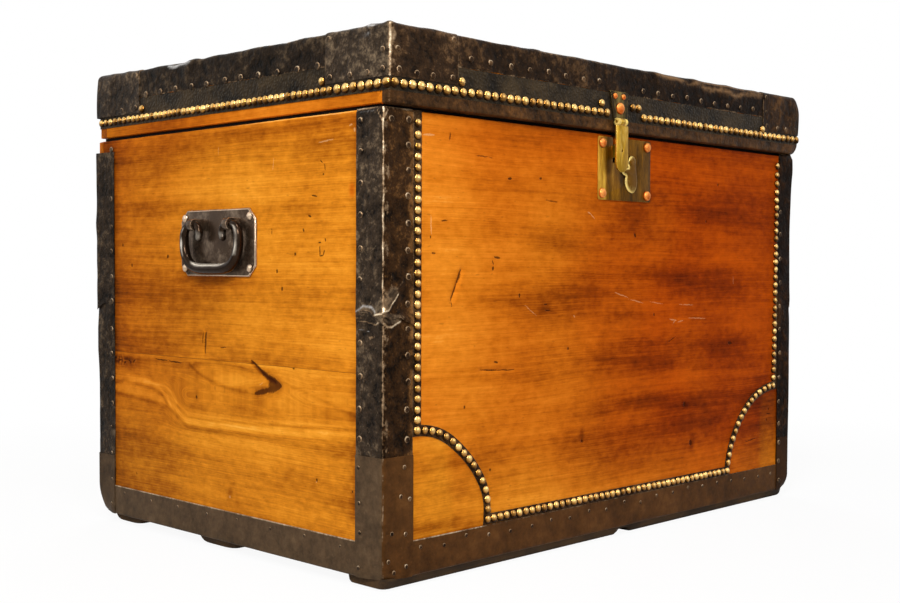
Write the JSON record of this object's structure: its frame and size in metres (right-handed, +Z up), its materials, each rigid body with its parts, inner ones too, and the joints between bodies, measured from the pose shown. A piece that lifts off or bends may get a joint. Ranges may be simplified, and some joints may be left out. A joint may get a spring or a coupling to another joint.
{
  "type": "sea chest",
  "caption": "Varnished board sea chest with sheet-metal bindings, domed nails, hinged lid, hasp lock with drop cover, and a bail handle on each side.",
  "frame": {"origin": "on the floor, under the centre of the carcase, at the underside of the middle skid", "axes": "+X along the front to the right as seen from the front, +Y from front to back, +Z up"},
  "size_m": [0.8708, 0.6071, 0.6],
  "materials": {
    "varnished_pine": "glossy honey-orange varnish over knotty pine",
    "plain_pine": "bare pine, dusty",
    "worn_skid": "worn dark wood",
    "dark_band": "dark strip under the nails",
    "brass_nail": "aged domed brass",
    "pebbled_iron": "dark pebbled japanned sheet",
    "dark_rim": "dark stained strip",
    "seal_felt": "black felt",
    "hinge_iron": "dark japanned iron",
    "hasp_brass": "bright worn brass",
    "copper_rivet": "domed copper",
    "lock_brass": "olive aged brass",
    "lock_iron": "oiled iron",
    "handle_iron": "black-brown iron with rubbed edges",
    "sheet_iron": "black-brown sheet with bright worn edges",
    "smooth_iron": "smooth brown-grey sheet"
  },
  "bodies": {
    "carcase": {"back_panel": "varnished_pine", "bottom_binding_back": "smooth_iron", "bottom_binding_front": "smooth_iron", "bottom_binding_left": "smooth_iron", "bottom_binding_right": "smooth_iron", "bottom_boards": "plain_pine", "corner_binding_back_left": "sheet_iron", "corner_binding_back_right": "sheet_iron", "corner_binding_front_left": "sheet_iron", "corner_binding_front_right": "sheet_iron", "corner_cap_back_left": "smooth_iron", "corner_cap_back_right": "smooth_iron", "corner_cap_front_left": "smooth_iron", "corner_cap_front_right": "smooth_iron", "cover_pin": "lock_brass", "front_nail_band": "dark_band", "front_nails": "brass_nail", "front_panel": "varnished_pine", "handle_eyes": "handle_iron", "handle_rivets": "handle_iron", "hinge_lower_leaves": "hinge_iron", "hinge_pins": "hinge_iron", "left_handle_plate": "handle_iron", "left_side_boards": "varnished_pine", "lock_case": "lock_iron", "lock_plate": "lock_brass", "lock_plate_rivets": "copper_rivet", "right_handle_plate": "handle_iron", "right_side_boards": "varnished_pine", "rim_seal": "seal_felt", "skid_front": "worn_skid", "skid_middle": "worn_skid", "skid_rear": "worn_skid"},
    "lid": {"hasp_leaf": "hasp_brass", "hasp_pin": "hasp_brass", "hasp_rivets": "copper_rivet", "hinge_upper_leaves": "hinge_iron", "lid_back_board": "varnished_pine", "lid_band_back": "sheet_iron", "lid_band_front": "sheet_iron", "lid_band_left": "sheet_iron", "lid_band_right": "sheet_iron", "lid_cap_back_left": "sheet_iron", "lid_cap_back_right": "sheet_iron", "lid_cap_front_left": "sheet_iron", "lid_cap_front_right": "sheet_iron", "lid_front_board": "varnished_pine", "lid_front_rim_strip": "dark_rim", "lid_left_board": "varnished_pine", "lid_lower_strips": "pebbled_iron", "lid_nails": "brass_nail", "lid_right_board": "varnished_pine", "lid_top_boards": "varnished_pine"},
    "hasp": {"hasp_strap": "hasp_brass", "hasp_staple": "hasp_brass"},
    "bolt": {"lock_bolt": "lock_iron"},
    "cover": {"keyhole_cover": "lock_brass"},
    "left_handle": {"left_bail": "handle_iron"},
    "right_handle": {"right_bail": "handle_iron"}
  },
  "joints": [
    {"name": "lid_hinge", "type": "hinge", "parent": "carcase", "child": "lid", "pos_m": [0, 0.29, 0.514], "axis": [-1, 0, 0], "range_deg": [0, 105]},
    {"name": "hasp_swing", "type": "hinge", "parent": "lid", "child": "hasp", "pos_m": [-0.02, -0.2983, 0.527], "axis": [-1, 0, 0], "range_deg": [0, 150]},
    {"name": "bolt_throw", "type": "slide", "parent": "carcase", "child": "bolt", "axis": [-1, 0, 0], "range_m": [0, 0.01]},
    {"name": "cover_swing", "type": "hinge", "parent": "carcase", "child": "cover", "pos_m": [0.011, -0.2876, 0.478], "axis": [0, -1, 0], "range_deg": [0, 100]},
    {"name": "left_bail_swing", "type": "hinge", "parent": "carcase", "child": "left_handle", "pos_m": [-0.428, 0.007, 0.3945], "axis": [0, 1, 0], "range_deg": [0, 95]},
    {"name": "right_bail_swing", "type": "hinge", "parent": "carcase", "child": "right_handle", "pos_m": [0.428, 0.007, 0.3945], "axis": [0, -1, 0], "range_deg": [0, 95]}
  ]
}
